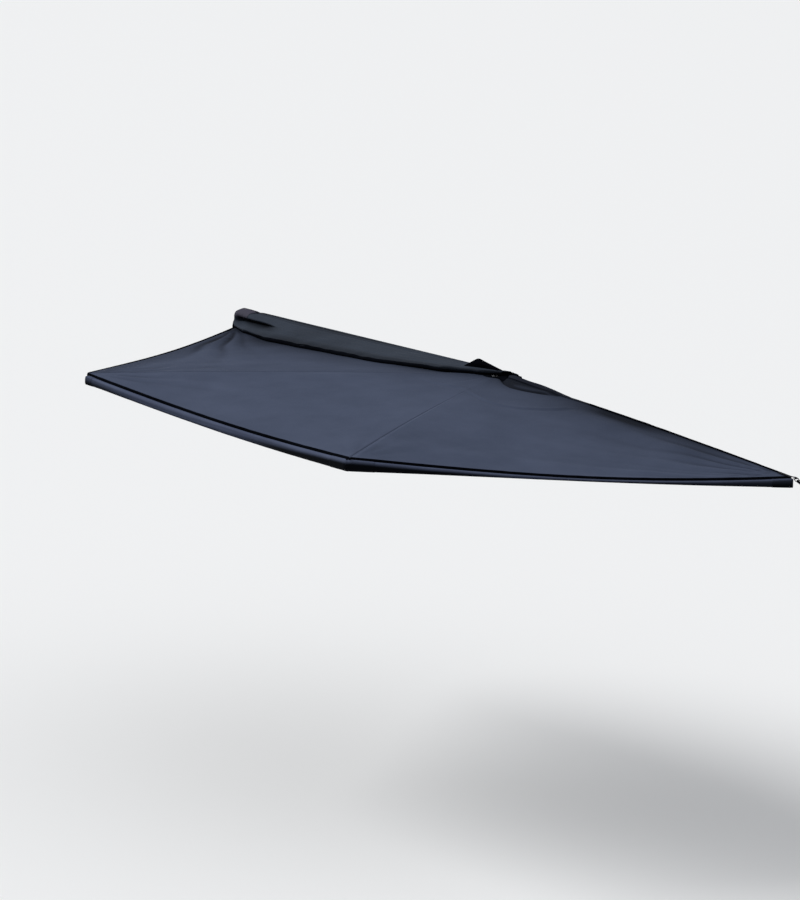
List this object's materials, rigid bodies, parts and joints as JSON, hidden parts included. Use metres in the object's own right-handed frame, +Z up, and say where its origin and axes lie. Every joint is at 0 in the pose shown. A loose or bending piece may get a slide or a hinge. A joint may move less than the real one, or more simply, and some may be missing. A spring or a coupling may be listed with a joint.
{
  "type": "vehicle side awning",
  "caption": "Side awning for a vehicle roof rack: a cloth fan on hinged arms that folds beside a rail under a cloth cover.",
  "frame": {"origin": "middle of the underside of the middle bracket's foot", "axes": "+X along the back rail towards the hub and the vehicle's rear, -Y out from the vehicle's side, +Z up"},
  "size_m": [4.9998, 2.2046, 0.4677],
  "materials": {
    "rail_aluminium": "anodised dark grey, satin",
    "arm_aluminium": "anodised silver, satin",
    "bracket_steel": "black powder coat, satin",
    "zinc_steel": "zinc plated",
    "nylon": "moulded, matt",
    "canopy_cloth": "coated slate oxford weave",
    "edge_cloth": "coated charcoal weave",
    "cover_cloth": "coated charcoal cover cloth",
    "webbing": "black polyester webbing",
    "rope": "black braided polyester"
  },
  "bodies": {
    "root": {"arm_1_cradle": "nylon", "arm_1_root": "arm_aluminium", "arm_1_tip_cap": "nylon", "arm_1_tube": "arm_aluminium", "back_rail": "rail_aluminium", "bracket_front": "bracket_steel", "bracket_middle": "bracket_steel", "bracket_rear": "bracket_steel", "canopy_panel_1": "canopy_cloth", "cover_end_front": "cover_cloth", "edge_hem_1": "edge_cloth", "hub_block": "rail_aluminium", "hub_bolt_1": "zinc_steel", "hub_bolt_2": "zinc_steel", "hub_nut_1": "zinc_steel", "hub_nut_2": "zinc_steel", "hub_plate_bottom": "bracket_steel", "hub_plate_top": "bracket_steel", "inner_hem": "edge_cloth", "pivot_bolt": "zinc_steel", "pivot_nut": "zinc_steel", "pivot_washer_1": "nylon", "pivot_washer_2": "nylon", "pivot_washer_3": "nylon", "pivot_washer_4": "nylon", "rail_cap_front": "nylon", "rail_cap_rear": "nylon", "slot_bolt_front_1": "zinc_steel", "slot_bolt_front_2": "zinc_steel", "slot_bolt_middle_1": "zinc_steel", "slot_bolt_middle_2": "zinc_steel", "slot_bolt_rear_1": "zinc_steel", "slot_bolt_rear_2": "zinc_steel", "stow_strap_front": "webbing", "stow_strap_rear": "webbing"},
    "arm_2": {"arm_2_knuckle": "arm_aluminium", "arm_2_tie_inner": "webbing", "arm_2_tie_outer": "webbing", "arm_2_tip_cap": "nylon", "arm_2_tube": "arm_aluminium", "canopy_panel_2": "canopy_cloth", "edge_roll_2": "edge_cloth"},
    "arm_3": {"arm_3_knuckle": "arm_aluminium", "arm_3_tie_inner": "webbing", "arm_3_tie_outer": "webbing", "arm_3_tip_cap": "nylon", "arm_3_tube": "arm_aluminium", "canopy_panel_3": "canopy_cloth", "edge_roll_3": "edge_cloth"},
    "arm_4": {"arm_4_knuckle": "arm_aluminium", "arm_4_tip_cap": "nylon", "arm_4_tube": "arm_aluminium", "guy_hook": "bracket_steel", "guy_ring": "bracket_steel", "guy_rope": "rope", "guy_tab": "webbing", "rear_hem": "edge_cloth"},
    "cover": {"cover_flap": "cover_cloth", "cover_peak": "cover_cloth"}
  },
  "joints": [
    {"name": "arm_2_hinge", "type": "hinge", "parent": "root", "child": "arm_2", "pos_m": [1.2, -0.2, 0.082], "axis": [0, 0, -1], "range_deg": [0, 60], "deforming": ["canopy_panel_1", "edge_hem_1"]},
    {"name": "arm_3_hinge", "type": "hinge", "parent": "arm_2", "child": "arm_3", "pos_m": [1.2, -0.2, 0.082], "axis": [0, 0, -1], "range_deg": [0, 60], "deforming": ["canopy_panel_2", "edge_roll_2"]},
    {"name": "arm_4_hinge", "type": "hinge", "parent": "arm_3", "child": "arm_4", "pos_m": [1.2, -0.2, 0.082], "axis": [0, 0, -1], "range_deg": [0, 60], "deforming": ["canopy_panel_3", "edge_roll_3"]},
    {"name": "cover_hinge", "type": "hinge", "parent": "root", "child": "cover", "pos_m": [0, -0.0483, 0.097], "axis": [-1, 0, 0], "range_deg": [0, 60]}
  ],
  "couplings": [
    {"joint": "cover_hinge", "follows": "arm_2_hinge", "ratio": 1}
  ]
}
